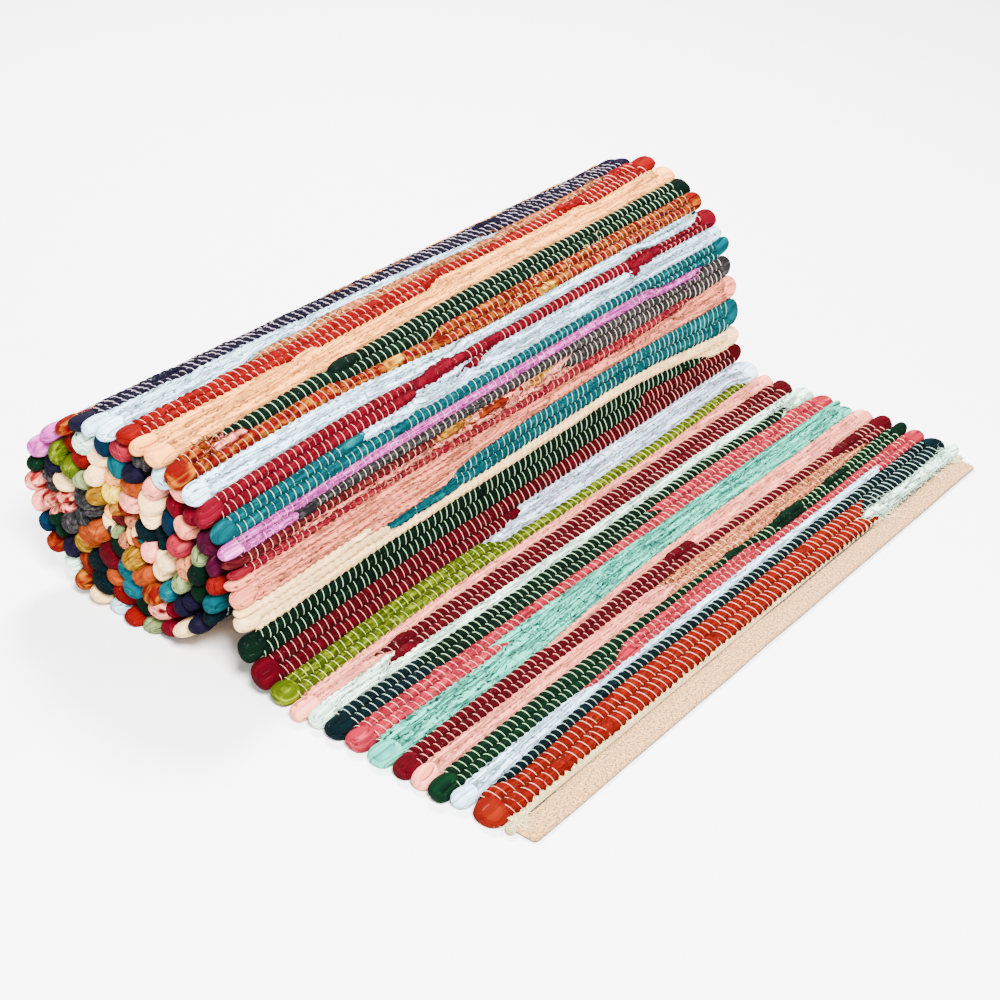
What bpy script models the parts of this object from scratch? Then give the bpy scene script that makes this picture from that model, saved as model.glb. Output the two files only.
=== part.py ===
"""A rag rug, partly unrolled: one woven cloth that lies flat at its hem, climbs over its own roll and
winds inward to the core. X runs along the rug with the hem at +X, Y across it, Z up from the floor.

The cloth's middle surface is a path in XZ, worked out once for each long edge, because the roll is a
little wider and lower at the near edge than at the far one. A closed ring of points round the cloth's
section is carried along that path, with a rib for every row of rag and a knob for every turn of a
strip at the long edges."""

import math

import bpy
import numpy as np

# Driving sizes, in metres
RUG_LENGTH = 2.13
RUG_WIDTH = 0.612
HEM_WIDTH = 0.596
HEM_LENGTH = 0.024
HEM_THICKNESS = 0.003
ROW_PITCH = 0.0088
ROW_THICKNESS = 0.010
RIB_DEPTH = 0.0016
RIB_WANDER = 0.0003
HEADER_HEIGHT = 0.0045
HEADER_LENGTH = 0.008
KNOB_THICKNESS = 0.0118
KNOB_LENGTH = 0.018
KNOB_SCALLOP = 0.0060
KNOB_WANDER = 0.0016
TIP_THICKNESS = 0.0096
SCALLOP_THICKNESS = 0.0082
FLAT_SPOT_DEPTH = 0.001
WANDER_SEED = 11

# The shape of the rolled cloth at each long edge. Lengths are in metres and angles in degrees.
# flat: length lying on the floor; bend: radius where it leaves the floor;
# lean_low, lean_high: how far the front leans back from upright at its foot and at its top;
# wide, high: half the width and height of the outer turn; step_wide, step_high: what each turn in
# takes off them; drift_x, drift_z: how far each turn in moves the centre.
EDGE_COLUMNS = (
    "y", "flat", "bend", "lean_low", "lean_high",
    "wide", "high", "step_wide", "step_high", "drift_x", "drift_z",
)
EDGE_ROWS = (
    (-0.306, 0.204, 0.047, -1.0, 31.0, 0.1045, 0.0812, 0.0160, 0.0127, -0.0010, 0.0002),
    (0.306, 0.209, 0.041, 2.0, 36.0, 0.0870, 0.0872, 0.0135, 0.0132, -0.0004, 0.0002),
)
NEAR, FAR = (dict(zip(EDGE_COLUMNS, row)) for row in EDGE_ROWS)

# Sampling of the path
ARC_STEPS = 48
TURNS_DRAWN = 6
STEPS_A_TURN = 360

# Rows from the hem to here show on the outside of the roll, so each has its own rib. Further in only
# the knobs at the two ends show, and each pair of rows shares one rib.
OUTER_ROWS = 96

# Stripes from the hem inward along the near edge, each with its colour and how many rows it fills
STRIPES = (
    ("orange", 2), ("pale_blue", 2), ("bottle_green", 2), ("shell_pink", 2), ("wine", 2),
    ("aqua", 3), ("coral", 2), ("deep_teal", 2), ("pale_mint", 2), ("shell_pink", 2),
    ("lime", 2), ("wine", 2), ("bottle_green", 2), ("cream", 3), ("salmon", 3), ("crimson", 1),
    ("wine", 1), ("lilac", 2), ("teal", 2), ("crimson", 2), ("pale_blue", 2), ("orange", 2),
    ("peach", 3), ("scarlet", 2), ("pale_blue", 3), ("navy", 2),
)
COLOURS = {
    "cotton": (0.62, 0.50, 0.37),
    "orange": (0.60, 0.10, 0.03),
    "pale_blue": (0.62, 0.74, 0.82),
    "bottle_green": (0.01, 0.05, 0.03),
    "shell_pink": (0.78, 0.42, 0.36),
    "wine": (0.25, 0.01, 0.02),
    "aqua": (0.35, 0.66, 0.56),
    "coral": (0.68, 0.14, 0.15),
    "deep_teal": (0.00, 0.06, 0.09),
    "pale_mint": (0.66, 0.76, 0.68),
    "lime": (0.30, 0.38, 0.03),
    "cream": (0.80, 0.63, 0.47),
    "salmon": (0.75, 0.31, 0.24),
    "lilac": (0.60, 0.27, 0.56),
    "teal": (0.00, 0.22, 0.27),
    "crimson": (0.42, 0.01, 0.05),
    "peach": (0.80, 0.48, 0.32),
    "scarlet": (0.60, 0.02, 0.03),
    "navy": (0.02, 0.02, 0.06),
}
CLOTH_ROUGHNESS = 0.9
SHARP_ANGLE = math.radians(60)


def clear_scene():
    for obj in list(bpy.data.objects):
        bpy.data.objects.remove(obj, do_unlink=True)


def spiral_point(edge, start, centre, angle):
    """Where the rolled cloth is at this angle, counted from start at the top of the front."""
    turns = (angle - start) / (2 * math.pi)
    wide = edge["wide"] - edge["step_wide"] * turns
    high = edge["high"] - edge["step_high"] * turns
    x = centre[0] + edge["drift_x"] * turns + wide * np.cos(angle)
    z = centre[1] + edge["drift_z"] * turns + high * np.sin(angle)
    return np.stack([x, z], axis=-1)


def spiral_start(edge):
    """The angle at which the outer turn leans back as far as the top of the front does."""
    low, high = 0.0, math.pi / 2
    for _ in range(40):
        middle = (low + high) / 2
        ahead = spiral_point(edge, middle, (0, 0), np.array([middle, middle + 1e-4]))
        step = ahead[1] - ahead[0]
        if math.atan2(-step[0], step[1]) < math.radians(edge["lean_high"]):
            low = middle
        else:
            high = middle
    return middle


def edge_path(edge):
    """The cloth's middle line at one long edge, from the hem to the core, as rows of (x, z)."""
    floor = ROW_THICKNESS / 2
    lean_low = math.radians(edge["lean_low"])
    lean_high = math.radians(edge["lean_high"])

    # Flat on the floor, then bent up to the foot of the front
    turn = np.linspace(0, math.pi / 2 - lean_low, ARC_STEPS)
    bend_x = -edge["flat"] - edge["bend"] * np.sin(turn)
    bend_z = floor + edge["bend"] * (1 - np.cos(turn))
    bend = np.stack([bend_x, bend_z], axis=-1)

    # The roll's height comes from its lowest outer point, pressed a little into the floor
    start = spiral_start(edge)
    first_turn = np.linspace(start, start + 2 * math.pi, STEPS_A_TURN)
    lowest = spiral_point(edge, start, (0, 0), first_turn)[:, 1].min()
    centre_z = floor - FLAT_SPOT_DEPTH - lowest

    # The front is one long arc from the bend to the outer turn
    top = spiral_point(edge, start, (0, centre_z), start)
    radius = (top[1] - bend[-1, 1]) / (math.sin(lean_high) - math.sin(lean_low))
    lean = np.linspace(lean_low, lean_high, ARC_STEPS)
    front_x = bend[-1, 0] + radius * (np.cos(lean) - math.cos(lean_low))
    front_z = bend[-1, 1] + radius * (np.sin(lean) - math.sin(lean_low))
    front = np.stack([front_x, front_z], axis=-1)

    centre = (front[-1, 0] - top[0], centre_z)
    angles = np.linspace(start, start + 2 * math.pi * TURNS_DRAWN, STEPS_A_TURN * TURNS_DRAWN)
    rolled = spiral_point(edge, start, centre, angles)
    return np.concatenate([[[0.0, floor]], bend, front[1:], rolled[1:]])


class Cloth:
    """The middle surface of the rug, read by the distance from the hem and the place across it."""

    def __init__(self):
        self.paths = [edge_path(NEAR), edge_path(FAR)]
        middle = (self.paths[0] + self.paths[1]) / 2
        steps = np.linalg.norm(np.diff(middle, axis=0), axis=1)
        self.distance = np.concatenate([[0.0], np.cumsum(steps)])
        self.normals = [self.outward(path) for path in self.paths]

    @staticmethod
    def outward(path):
        along = np.gradient(path, axis=0)
        along /= np.linalg.norm(along, axis=1)[:, None]
        return np.stack([along[:, 1], -along[:, 0]], axis=-1)

    def read(self, table, distance):
        return np.array([np.interp(distance, self.distance, table[:, k]) for k in (0, 1)])

    def point(self, distance, across, height):
        """A point at this height off the middle surface, on the side that faces up at the hem."""
        share = (across - NEAR["y"]) / (FAR["y"] - NEAR["y"])
        place = [self.read(path, distance) for path in self.paths]
        facing = [self.read(normals, distance) for normals in self.normals]
        x, z = (1 - share) * place[0] + share * place[1]
        out_x, out_z = (1 - share) * facing[0] + share * facing[1]
        size = math.hypot(out_x, out_z)
        return (x + height * out_x / size, across, max(0.0, z + height * out_z / size))


def row_count():
    """How many rows of rag the cloth has. They go in pairs, because a strip turns at each edge."""
    pairs = int((RUG_LENGTH - 2 * HEM_LENGTH) / (2 * ROW_PITCH))
    return 2 * pairs


def stations(rows):
    """Where along the rug a ring of points goes: (distance, kind, row).

    kind is "hem", "header" (the raised cord of plain weave beside the rag), "between" (between two
    pairs of rows), "rib" (the crown of a row or pair) or "groove" (between the two rows of a pair)."""
    found = [
        (0.0, "hem", 0),
        (HEM_LENGTH - HEADER_LENGTH, "hem", 0),
        (HEM_LENGTH - HEADER_LENGTH / 2, "header", 0),
    ]
    for row in range(0, rows, 2):
        edge = HEM_LENGTH + row * ROW_PITCH
        found.append((edge, "between", row))
        if row < OUTER_ROWS:
            found.append((edge + 0.5 * ROW_PITCH, "rib", row))
            found.append((edge + 1.0 * ROW_PITCH, "groove", row))
            found.append((edge + 1.5 * ROW_PITCH, "rib", row + 1))
        else:
            found.append((edge + ROW_PITCH, "rib", row))
    last_row = HEM_LENGTH + rows * ROW_PITCH
    found.append((last_row, "between", rows - 1))
    inner_hem = (last_row + HEM_THICKNESS / 2, (last_row + RUG_LENGTH) / 2, RUG_LENGTH)
    found += [(distance, "hem", rows - 1) for distance in inner_hem]
    return found


def unevenness(rows):
    """How much further each pair's knob reaches at the near and far edge, and how much higher each
    row stands."""
    draw = np.random.default_rng(WANDER_SEED)
    reaches = draw.uniform(-KNOB_WANDER, KNOB_WANDER, (rows // 2, 2))
    ribs = draw.uniform(-RIB_WANDER, RIB_WANDER, rows)
    return reaches, ribs


def hem_end(kind, on_floor):
    """(across, low, high) from a long edge inward, where the cloth is thin."""
    thick = HEADER_HEIGHT if kind == "header" else HEM_THICKNESS
    low = -ROW_THICKNESS / 2 if on_floor else -thick / 2
    edge = HEM_WIDTH / 2
    return [(edge - inset, low, low + thick) for inset in (0, KNOB_SCALLOP, KNOB_LENGTH)]


def rag_end(kind, on_floor, extra_reach, extra_rib):
    """(across, low, high) from a long edge inward: the tip, the fattest and the root of a knob."""
    half = ROW_THICKNESS / 2
    between = kind == "between"
    rib = -extra_rib if kind == "rib" else RIB_DEPTH
    tip = SCALLOP_THICKNESS if between else TIP_THICKNESS
    knob = SCALLOP_THICKNESS if between else KNOB_THICKNESS
    tip_reach = RUG_WIDTH / 2 + extra_reach - (KNOB_SCALLOP if between else 0)
    knob_reach = RUG_WIDTH / 2 - KNOB_SCALLOP - KNOB_WANDER
    root = RUG_WIDTH / 2 - KNOB_LENGTH
    if on_floor:
        lows = (-half, -half, -half)
        highs = (tip - half, knob - half, half - rib)
    else:
        lows = (-tip / 2, -knob / 2, rib - half)
        highs = (tip / 2, knob / 2, half - rib)
    return list(zip((tip_reach, knob_reach, root), lows, highs))


def section(station, reaches, ribs):
    """The ring round the cloth at one station: rows of (across, height), near edge first, the
    underside out and the top side back."""
    distance, kind, row = station
    on_floor = distance < min(NEAR["flat"], FAR["flat"])
    if kind in ("hem", "header"):
        near = far = hem_end(kind, on_floor)
    else:
        near, far = (rag_end(kind, on_floor, reach, ribs[row]) for reach in reaches[row // 2])
    under = [(-y, low) for y, low, _ in near] + [(y, low) for y, low, _ in reversed(far)]
    top = [(y, high) for y, _, high in far] + [(-y, high) for y, _, high in reversed(near)]
    return under + top


def stripe_colours(rows):
    """The colour of each row: the stripes from the hem, then the same stripes in a shuffled order."""
    colours = [colour for colour, count in STRIPES for _ in range(count)]
    order = np.random.default_rng(7)
    while len(colours) < rows:
        colour = STRIPES[order.integers(len(STRIPES))][0]
        if colour != colours[-1]:
            colours += [colour, colour]
    return colours[:rows]


def cloth_material(name, colour):
    material = bpy.data.materials.new(name)
    material.use_nodes = True
    shader = material.node_tree.nodes["Principled BSDF"]
    shader.inputs["Base Color"].default_value = (*colour, 1.0)
    shader.inputs["Roughness"].default_value = CLOTH_ROUGHNESS
    shader.inputs["Metallic"].default_value = 0.0
    material.diffuse_color = (*colour, 1.0)
    return material


def rug_mesh():
    """The closed solid, and the colour of each face."""
    cloth = Cloth()
    points = []
    rings = []
    colours = []
    rows = row_count()
    row_colours = stripe_colours(rows)
    reaches, ribs = unevenness(rows)
    for station in stations(rows):
        distance, kind, row = station
        ring = []
        for across, height in section(station, reaches, ribs):
            ring.append(len(points))
            points.append(cloth.point(distance, across, height))
        rings.append(ring)
        colours.append("cotton" if kind in ("hem", "header") else row_colours[row])

    faces = []
    face_colours = []
    size = len(rings[0])
    for first, second, colour in zip(rings, rings[1:], colours):
        for k in range(size):
            after = (k + 1) % size
            faces.append((first[k], second[k], second[after], first[after]))
            face_colours.append(colour)
    # Each end of the rug is closed by a strip of faces across its thickness
    for ring, turned in ((rings[0], True), (rings[-1], False)):
        for k in range(size // 2 - 1):
            face = (ring[k], ring[k + 1], ring[size - 2 - k], ring[size - 1 - k])
            faces.append(face if turned else face[::-1])
            face_colours.append("cotton")
    return points, faces, face_colours


def centred(points):
    """Moves the points so that the origin is under the middle of the rug."""
    points = np.array(points)
    low = points.min(axis=0)
    high = points.max(axis=0)
    points[:, 0] -= (low[0] + high[0]) / 2
    points[:, 1] -= (low[1] + high[1]) / 2
    return points


def make_rug():
    points, faces, face_colours = rug_mesh()
    mesh = bpy.data.meshes.new("rug")
    mesh.from_pydata(centred(points).tolist(), [], faces)
    names = list(COLOURS)
    for name in names:
        mesh.materials.append(cloth_material(name, COLOURS[name]))
    for polygon, colour in zip(mesh.polygons, face_colours):
        polygon.material_index = names.index(colour)
    mesh.shade_smooth()
    mesh.set_sharp_from_angle(angle=SHARP_ANGLE)
    rug = bpy.data.objects.new("rug", mesh)
    bpy.context.scene.collection.objects.link(rug)
    return rug


clear_scene()
make_rug()
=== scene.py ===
"""The looks of the rag rug: every row of rag, the white cotton warp that crosses it, the knobs at the
long edges, the hem, the loose ends and the cloth of each strip.

Everything is laid out on the flat rug first, by its distance from the hem, its place across the rug
and its height off the middle of the cloth, and then carried along the path of the rolled cloth."""

import math
from collections import defaultdict

import bpy
import numpy as np
from mathutils import Matrix, Vector


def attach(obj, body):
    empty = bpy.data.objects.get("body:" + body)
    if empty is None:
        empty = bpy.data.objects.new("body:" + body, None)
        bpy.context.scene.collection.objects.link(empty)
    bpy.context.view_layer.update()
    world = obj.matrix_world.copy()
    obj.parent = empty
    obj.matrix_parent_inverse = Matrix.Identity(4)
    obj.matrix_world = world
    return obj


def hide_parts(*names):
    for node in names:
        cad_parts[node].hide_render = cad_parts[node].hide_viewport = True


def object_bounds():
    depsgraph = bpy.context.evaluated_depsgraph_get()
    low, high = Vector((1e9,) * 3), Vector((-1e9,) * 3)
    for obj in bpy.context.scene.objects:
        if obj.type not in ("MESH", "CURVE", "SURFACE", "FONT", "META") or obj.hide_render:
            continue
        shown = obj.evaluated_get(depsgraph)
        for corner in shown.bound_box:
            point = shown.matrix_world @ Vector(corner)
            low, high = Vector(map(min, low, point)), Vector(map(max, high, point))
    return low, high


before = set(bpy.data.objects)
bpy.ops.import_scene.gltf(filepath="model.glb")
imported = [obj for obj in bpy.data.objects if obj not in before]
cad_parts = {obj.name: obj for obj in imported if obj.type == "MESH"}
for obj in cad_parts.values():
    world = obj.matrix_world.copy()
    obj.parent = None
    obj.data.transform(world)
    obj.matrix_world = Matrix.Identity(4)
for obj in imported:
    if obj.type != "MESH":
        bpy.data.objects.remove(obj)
cad_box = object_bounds()

MM = 0.001


def table(text):
    """The entries of a table, one a line or set apart by commas. A word that starts with a letter is a
    name and any other is a number."""
    entries = (entry.split() for entry in text.replace(",", "\n").strip().split("\n"))
    return [[word if word[0].isalpha() else float(word) for word in entry] for entry in entries]


# The cloth, with the same sizes as the CAD model
RUG_LENGTH = 2.13
HEM_WIDTH = 0.596
ROW_THICKNESS = 0.010
FLAT_SPOT_DEPTH = 0.001
EDGE_COLUMNS = (
    "y", "flat", "bend", "lean_low", "lean_high",
    "wide", "high", "step_wide", "step_high", "drift_x", "drift_z",
)
EDGE_ROWS = (
    (-0.306, 0.204, 0.047, -1.0, 31.0, 0.1045, 0.0812, 0.0160, 0.0127, -0.0010, 0.0002),
    (0.306, 0.209, 0.041, 2.0, 36.0, 0.0870, 0.0872, 0.0135, 0.0132, -0.0004, 0.0002),
)
NEAR, FAR = (dict(zip(EDGE_COLUMNS, row)) for row in EDGE_ROWS)
ARC_STEPS = 48
TURNS_DRAWN = 6
STEPS_A_TURN = 360

# The weave
OUTER_END = 0.8632  # how far from the hem the outer turn ends
FIRST_WARP = -0.2900
WARP_STEP = 0.00338
WARPS = 172
ROW_REACH = 0.2935  # how far from the middle line the rungs go
ROW_END = 0.2955  # where the rows have rounded off
ROW_SWELL = 0.00045  # how far a row bulges between the loops
COVER_EASE = 0.024  # over which a row makes room for a strip that starts
END_LENGTH = 0.042  # over which a strip thins out where it ends
WARP_HALF_WIDTH = 0.00028
WARP_HEIGHT = 0.00042
WARP_WANDER = 0.00030
KNOB_PITCH = 0.0176
KNOB_REACH, INNER_REACH, CORE_REACH = 0.3085, 0.3060, 0.3020
SPLIT_KNOBS = 0.22  # the share of inner knobs that are two small ones
ROWS_A_PIECE = 36
STRIP_SHIFT = 1.37  # how far the Strip map moves on from one strip to the next

# The outlines of a strip in front and at the back and of a thread, as angles round them, and the arch of
# a loop of warp over its row, in front and at the back: shares of the row's width, and heights in mm
SECTION = np.radians((-28, 14, 46, 74, 106, 134, 166, 208, 270))
BACK_SECTION = np.radians((-25, 22, 65, 115, 158, 205, 270))
THREAD_SECTION = np.radians((90, 210, 330))
FINE_ARCH = np.array(((-0.14, 0.02, 0.24, 0.5, 0.76, 0.98, 1.14), (1.6, 3.3, 4.35, 4.65, 4.35, 3.3, 1.6)))
BACK_ARCH = np.array(((-0.1, 0.14, 0.5, 0.86, 1.1), (2.0, 3.8, 4.6, 3.8, 2.0)))

# Each cloth: its name, its colour, a second colour in it (both as screen colours from 0 to 255), how
# much of the second colour shows, how long its patches are in mm, how plump it stays under the warp (1
# hides the dips; it also deepens the painted shade of its crease lines and pits) and how creased it is,
# which sets its relief and how dark its painted shade is
CLOTH_COLUMNS = ("colour", "second", "share", "patch", "plump", "crease")
CLOTH_TABLE = table("""
orange 208 46 10 224 72 24 0.25 9 0.15 0.6
deep_teal 0 42 50 2 60 70 0.25 9 0.10 0.6
pale_blue 214 230 240 196 215 230 0.22 12 0.48 1.0
coral 246 94 110 250 142 146 0.28 7 0.20 0.8
green 2 60 38 8 80 46 0.28 9 0.10 0.6
pink 255 192 182 252 178 168 0.25 14 0.45 0.75
tan 236 178 158 176 134 116 0.34 3 0.22 1.0
wine 136 0 34 162 6 46 0.28 9 0.10 0.6
aqua 150 216 200 122 196 186 0.26 7 0.52 1.1
mint 218 234 222 196 224 208 0.28 10 0.50 1.0
lime 130 156 12 176 194 44 0.35 7 0.20 0.8
mist 216 227 238 228 204 216 0.25 12 0.45 1.0
black_green 12 44 34 32 58 46 0.30 8 0.10 0.6
cream 255 230 202 255 222 192 0.25 14 0.50 0.22
teal 0 144 158 0 174 180 0.30 8 0.20 0.7
salmon 255 188 174 255 176 162 0.28 9 0.55 0.8
rose 228 50 84 246 124 126 0.36 6 0.25 0.9
rust 204 52 26 232 108 52 0.35 6 0.25 0.8
maroon 134 44 52 190 104 104 0.40 6 0.20 0.7
marigold 240 142 44 250 196 92 0.38 7 0.30 0.8
grey 88 86 88 146 143 143 0.36 4 0.15 1.0
lilac 246 146 218 252 182 230 0.30 8 0.30 1.0
crimson 194 2 54 214 12 70 0.30 8 0.15 0.7
ember_print 210 40 20 248 150 46 0.36 8 0.22 0.9
blush_print 255 192 182 236 56 66 0.42 7 0.28 1.0
peach 255 200 160 250 184 142 0.20 16 0.50 0.7
scarlet 226 24 28 238 54 46 0.30 9 0.20 0.7
sand 224 170 148 184 116 98 0.34 5 0.22 1.1
ink 38 36 58 58 54 72 0.30 8 0.10 0.6
sage 186 196 166 160 172 142 0.30 8 0.5 1.0
sea_blue 4 66 104 10 92 130 0.30 8 0.2 0.7
plum 112 18 66 140 40 84 0.30 8 0.2 0.7
mustard 214 150 24 238 190 60 0.35 6 0.3 0.8
turquoise 0 156 176 30 186 196 0.30 8 0.2 0.7
tangerine 240 110 50 248 145 84 0.30 8 0.2 0.7
sea_foam 112 194 190 70 156 158 0.3 5 0.5 1.0
sunny 250 214 76 252 232 140 0.30 8 0.3 0.7
cocoa 104 78 66 140 110 92 0.30 6 0.3 0.8
""")
CLOTHS = {
    name: dict(zip(CLOTH_COLUMNS, (row[:3], row[3:6], *row[6:]))) for name, *row in CLOTH_TABLE
}
CLOTH_NAMES = list(CLOTHS)

# The rows of rag from the hem inward, as charted: name, width in mm, and its strips, each one a
# cloth, where it starts and where it ends, in shares of the width from the near edge to the far one
ROW_TABLE = table("""
r1 12 orange 0 0.766 mint 0.755 1
r2 12 orange 0 0.79 deep_teal 0.775 1
r3 8.5 deep_teal 0.055 1
r4 8.5 pale_blue 0 0.90 coral 0.86 1
r5 8.5 pale_blue 0 0.235 coral 0.235 1
r6 8 green 0 0.33 coral 0.31 0.62 green 0.66 1
r7 9 green 0 1
r8 9 pink 0 0.46 tan 0.46 0.92
r9 9 pink 0 0.46 tan 0.46 0.885 wine 0.87 1
r10 9 wine 0 1
r11 9 wine 0 0.545 pink 0.545 1
r12 8 pink 0.27 1
r13 10 aqua 0 1
r14 10 aqua 0 1
r15 9 coral 0 0.245 aqua 0.23 1
r16 9 coral 0 1
r17 9 deep_teal 0 0.16 black_green 0.15 0.60 coral 0.58 1
r18 9 deep_teal 0 0.16 black_green 0.15 0.93 mint 0.93 1
r19 9 mint 0 1
r20 9 mint 0 0.15 wine 0.125 1
r21 9 pink 0 0.135 wine 0.13 1
r22 9 pink 0 1
r22b 7 pink 0.85 1
r23 9 lime 0 0.95
r24 9 lime 0 0.40 mist 0.38 1
r25 9 wine 0 0.45 mist 0.44 1
r26 9 wine 0 1
r27 9 black_green 0 0.755 wine 0.75 1
r28 9 black_green 0 0.91 cream 0.91 1
r29 9 cream 0 1
r30 9 cream 0 0.26 teal 0.235 1
r31 9 cream 0 0.20 salmon 0.20 0.37 teal 0.375 1
r32 9 salmon 0 1
r33 8 salmon 0 0.45 salmon 0.85 1
r34 7 salmon 0 0.40
r35 7 rose 0 0.89
r36 6 blush_print 0.10 0.62
r37 9 maroon 0 0.35 marigold 0.345 0.40 blush_print 0.40 0.53 marigold 0.53 0.57 pink 0.57 0.61 grey 0.60 1
r38 9 lilac 0 0.13 grey 0.12 1
r39 9 lilac 0 0.93
r39b 7 teal 0.82 1
r40 9 teal 0 1
r41 9 teal 0 0.235 pale_blue 0.23 1
r42 9 crimson 0 0.34 pale_blue 0.34 0.44 crimson 0.44 0.48 pale_blue 0.48 0.99
r43 9 crimson 0 1
r43b 7 crimson 0.80 1
r44 9 pale_blue 0 0.97
r45 9 pale_blue 0 0.45 pale_blue 0.84 0.96
r46 9 ember_print 0 1
r47 9 ember_print 0 0.10 ember_print 0.43 1
r48 9 black_green 0.08 1
r49 9 black_green 0.27 1
r50 9 peach 0 1
r51 9 peach 0 1
r52 9 peach 0 0.25
r53 9 scarlet 0 0.50 scarlet 0.82 1
r54 9 scarlet 0 1
r55 9 sand 0.22 0.91
r56 9 pale_blue 0 0.67
r57 9 pale_blue 0 0.33
r58 9 pale_blue 0 0.15
r59 8.5 ink 0 1
r60 8.5 ink 0 1
r61 8.5 ink 0.3 1
r62 8.5 ink 0.35 1
r63 8.8 ember_print 0 0.05 ink 0.05 0.60 peach 0.59 1
r64 8.8 ember_print 0 0.05 ink 0.05 1
""")
ROWS = [
    (name, width, tuple(zip(strips[::3], strips[1::3], strips[2::3])))
    for name, width, *strips in ROW_TABLE
]

# Where some rows start, in mm from the hem, at five places across the rug. b rows are on the back
ANCHOR_PLACES = (-0.28, -0.15, 0.0, 0.15, 0.28)
ANCHOR_TABLE = table("""
r1 24 24 22.5 19.5 18
r4 51 58.5 54 53 50.5
r6 66.5 66.5 70 66 67
r8 84 86 81.5 77.5 81
r10 99 98.5 98 93.5 88.5
r13 115.5 115 122 119 117.5
r16 149 145 144 142 139.5
r19 178 174.5 171.5 171 166
r22 200.5 202 200 199.5 197
r23 208.5 212 209.5 207.5 213
r26 236 240 238 239.5 241
r29 264.5 271.5 273 278 264
r32 290 296.5 303 303 299
r35 318 318 313 311.5 315
r38 336 334 330 327.5 322
r40 351 349 344 340.5 336
r43 374 374 366 360 352
r46 396.5 395 381 376.5 371
r50 416 417.5 416.5 410 405.5
r54 451 446 441 431.5 441
r59 485 480 471.5 452.5 458
r63 502 502 500 495 494
b29 562 561 560 558 558
end 863.2 863.2 863.2 863.2 863.2
""")
ANCHORS = {name: starts for name, *starts in ANCHOR_TABLE}

# The knobs on the near end of the roll, a pair of rows each, from the 27th pair inward
BACK_KNOBS = (
    "lilac lilac green blush_print pink sea_blue rust mint ember_print cream pale_blue "
    "scarlet sage crimson cream ink deep_teal teal scarlet plum"
).split()
INNER_KNOBS = (
    "plum crimson pink pale_blue grey coral sea_blue mint orange lime ink grey blush_print green ink "
    "rust deep_teal scarlet green blush_print crimson ink green black_green sage salmon crimson pink "
    "ink teal cream scarlet lime cream blush_print grey mustard deep_teal tangerine turquoise "
    "ember_print turquoise sage tan coral sea_blue cream tangerine peach cream sage grey grey "
    "tangerine wine turquoise tangerine cream cream deep_teal cream pink sunny mustard grey tangerine "
    "black_green mustard pink deep_teal"
).split()

# The rags that fill the core: cloth, distance from the hem and height, in metres
CORE_RAGS = table("""
tan 2.0968 -0.0085, cream 2.0858 -0.0125, blush_print 2.0748 -0.0165, teal 2.0638 -0.0085
tangerine 2.0528 -0.0125, peach 2.0418 -0.0165, tan 2.0308 -0.0085, sage 2.0198 -0.0125
rust 2.1020 -0.0005, marigold 2.1125 -0.0010, peach 2.1215 -0.0005, cream 2.1310 0.0005
maroon 2.1190 -0.0100, grey 2.0120 -0.0110
""")

# The hem: screen colours of its band and of the header beside it, each with its flecks, where the fold
# is stitched down (places across the rug and distances from the hem), and the cords of the header as
# (start past the fold, width, how much higher it stands) in metres
HEM_COLOUR, HEM_FLECK = (250, 210, 168), (184, 132, 98)
HEADER_COLOUR, HEADER_FLECK = (244, 228, 196), (180, 184, 148)
FOLD_LINE = (
    (-0.295, -0.25, -0.15, -0.05, 0.05, 0.17, 0.29),
    (0.0190, 0.0206, 0.0210, 0.0208, 0.0193, 0.0186, 0.0188),
)
HEADER_CORDS = ((0.0008, 0.0026, 0.0005), (0.0026, 0.0034, 0.0013))
HEM_PITCH, HEM_DEPTH = 0.0026, 0.0010  # of its weave
STITCH_STEP = 0.0046
STITCH_RADIUS = 0.00060

# The hem's band from its edge over the top and back under its fold: shares of the way to the fold,
# heights in mm, places on its weave in metres, and how much painted shade each place gets, most on its
# edge wall and under the fold
BAND_PROFILE = np.array((
    (0.0, 0.015, 0.09, 0.30, 0.62, 0.92, 0.985, 1.14, 0.42, 0.03),
    (-3.4, -2.2, -1.4, -0.9, -0.9, -1.1, -2.0, -3.6, -4.8, -4.7),
    (0, 0.001, 0.003, 0.007, 0.013, 0.019, 0.0205, 0.0240, 0.034, 0.041),
    (1.0, 0.30, 0.0, 0.0, 0.0, 0.0, 0.1, 0.4, 1.0, 1.0),
))
BAND_REST = -0.0036  # the height that it thins out to at its ends

# Loose threads at the hem: distance from it, place across, length, spread across, how many, height and
# radius, in metres
LOOSE_THREADS = (
    (0.020, -0.290, 0.014, 0.012, 46, -0.0004, 0.0003),
    (0.019, 0.288, 0.014, 0.014, 46, -0.0002, 0.0003),
    (0.021, 0.22, 0.012, 0.12, 110, 0.0006, 0.00035),
)

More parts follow.
